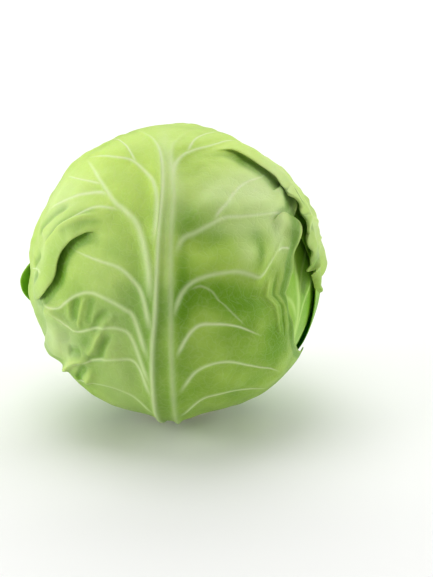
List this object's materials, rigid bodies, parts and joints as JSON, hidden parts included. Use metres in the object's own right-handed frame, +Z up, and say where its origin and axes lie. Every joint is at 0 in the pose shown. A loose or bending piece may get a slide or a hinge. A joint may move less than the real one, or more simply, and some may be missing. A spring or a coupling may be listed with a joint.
{
  "type": "cabbage head",
  "caption": "Round head of white cabbage with waxy wrapper leaves lying over a tight heart, standing on its cut stem.",
  "frame": {"origin": "centre of the flat cut under the stem, on which the head stands", "axes": "+Z up the stem, -Y towards the middle of the front leaf, +X to the right of a viewer who faces that leaf"},
  "size_m": [0.1679, 0.1599, 0.1587],
  "materials": {
    "leaf": "waxy pale green leaf with paler raised veins",
    "heart": "pale yellow-green inner leaves, packed tight",
    "stem": "cream stalk with a fresh, slightly fibrous cut"
  },
  "bodies": {
    "root": {"front_leaf": "leaf", "back_right_leaf": "leaf", "left_leaf": "leaf", "right_leaf": "leaf", "back_leaf": "leaf", "front_left_leaf": "leaf", "heart": "heart", "stem": "stem"}
  },
  "joints": []
}
